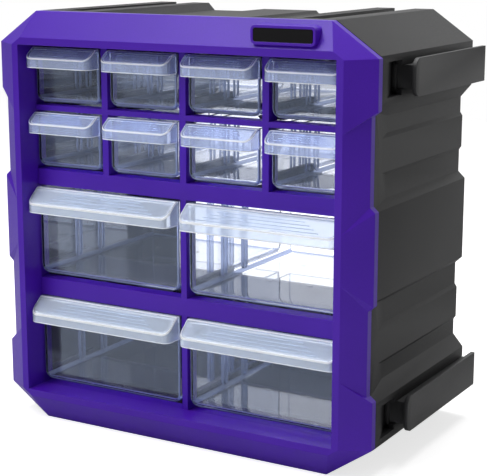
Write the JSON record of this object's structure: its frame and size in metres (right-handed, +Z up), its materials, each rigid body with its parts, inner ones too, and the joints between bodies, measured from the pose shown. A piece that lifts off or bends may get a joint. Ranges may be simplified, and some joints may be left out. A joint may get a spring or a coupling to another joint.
{
  "type": "parts bin cabinet",
  "caption": "Wall or bench cabinet with a bevelled front hood and rows of small and large clear slide-out bins with hooded grips, joined to like cabinets by double-T side clips.",
  "frame": {"origin": "centre of the base: on the middle of the cabinet's width, halfway between the hood's front rim and the case's back, at the height that it stands on", "axes": "+X to the right across the front, +Y to the back, -Y is the side that the bins open to, +Z up"},
  "size_m": [0.2725, 0.154, 0.2667],
  "materials": {
    "case_black": "fine matte moulded polypropylene",
    "hood_purple": "satin moulded polypropylene",
    "grid_purple": "satin moulded polypropylene",
    "plate_black": "glossy bare plate",
    "runner_plastic": "dark moulded polypropylene",
    "bin_clear": "clear polystyrene with a slight blue tint, frosted grips",
    "clip_black": "fine matte moulded polypropylene"
  },
  "bodies": {
    "cabinet": {"case_shell": "case_black", "front_hood": "hood_purple", "bay_grid": "grid_purple", "name_plate": "plate_black", "roof_stops": "runner_plastic", "runner_row1": "runner_plastic", "runner_row2": "runner_plastic", "runner_row3": "runner_plastic", "runner_row4": "runner_plastic", "joining_clip_upper": "clip_black", "joining_clip_lower": "clip_black"},
    "bin_r1c1_body": {"bin_r1c1": "bin_clear"},
    "bin_r1c2_body": {"bin_r1c2": "bin_clear"},
    "bin_r1c3_body": {"bin_r1c3": "bin_clear"},
    "bin_r1c4_body": {"bin_r1c4": "bin_clear"},
    "bin_r2c1_body": {"bin_r2c1": "bin_clear"},
    "bin_r2c2_body": {"bin_r2c2": "bin_clear"},
    "bin_r2c3_body": {"bin_r2c3": "bin_clear"},
    "bin_r2c4_body": {"bin_r2c4": "bin_clear"},
    "bin_r3c1_body": {"bin_r3c1": "bin_clear"},
    "bin_r3c2_body": {"bin_r3c2": "bin_clear"},
    "bin_r4c1_body": {"bin_r4c1": "bin_clear"},
    "bin_r4c2_body": {"bin_r4c2": "bin_clear"}
  },
  "joints": [
    {"name": "bin_r1c1_slide", "type": "slide", "parent": "cabinet", "child": "bin_r1c1_body", "axis": [0, -1, 0], "range_m": [0, 0.0715]},
    {"name": "bin_r1c2_slide", "type": "slide", "parent": "cabinet", "child": "bin_r1c2_body", "axis": [0, -1, 0], "range_m": [0, 0.0715]},
    {"name": "bin_r1c3_slide", "type": "slide", "parent": "cabinet", "child": "bin_r1c3_body", "axis": [0, -1, 0], "range_m": [0, 0.0715]},
    {"name": "bin_r1c4_slide", "type": "slide", "parent": "cabinet", "child": "bin_r1c4_body", "axis": [0, -1, 0], "range_m": [0, 0.0715]},
    {"name": "bin_r2c1_slide", "type": "slide", "parent": "cabinet", "child": "bin_r2c1_body", "axis": [0, -1, 0], "range_m": [0, 0.0715]},
    {"name": "bin_r2c2_slide", "type": "slide", "parent": "cabinet", "child": "bin_r2c2_body", "axis": [0, -1, 0], "range_m": [0, 0.0715]},
    {"name": "bin_r2c3_slide", "type": "slide", "parent": "cabinet", "child": "bin_r2c3_body", "axis": [0, -1, 0], "range_m": [0, 0.0715]},
    {"name": "bin_r2c4_slide", "type": "slide", "parent": "cabinet", "child": "bin_r2c4_body", "axis": [0, -1, 0], "range_m": [0, 0.0715]},
    {"name": "bin_r3c1_slide", "type": "slide", "parent": "cabinet", "child": "bin_r3c1_body", "axis": [0, -1, 0], "range_m": [0, 0.0715]},
    {"name": "bin_r3c2_slide", "type": "slide", "parent": "cabinet", "child": "bin_r3c2_body", "axis": [0, -1, 0], "range_m": [0, 0.0715]},
    {"name": "bin_r4c1_slide", "type": "slide", "parent": "cabinet", "child": "bin_r4c1_body", "axis": [0, -1, 0], "range_m": [0, 0.0715]},
    {"name": "bin_r4c2_slide", "type": "slide", "parent": "cabinet", "child": "bin_r4c2_body", "axis": [0, -1, 0], "range_m": [0, 0.0715]}
  ]
}
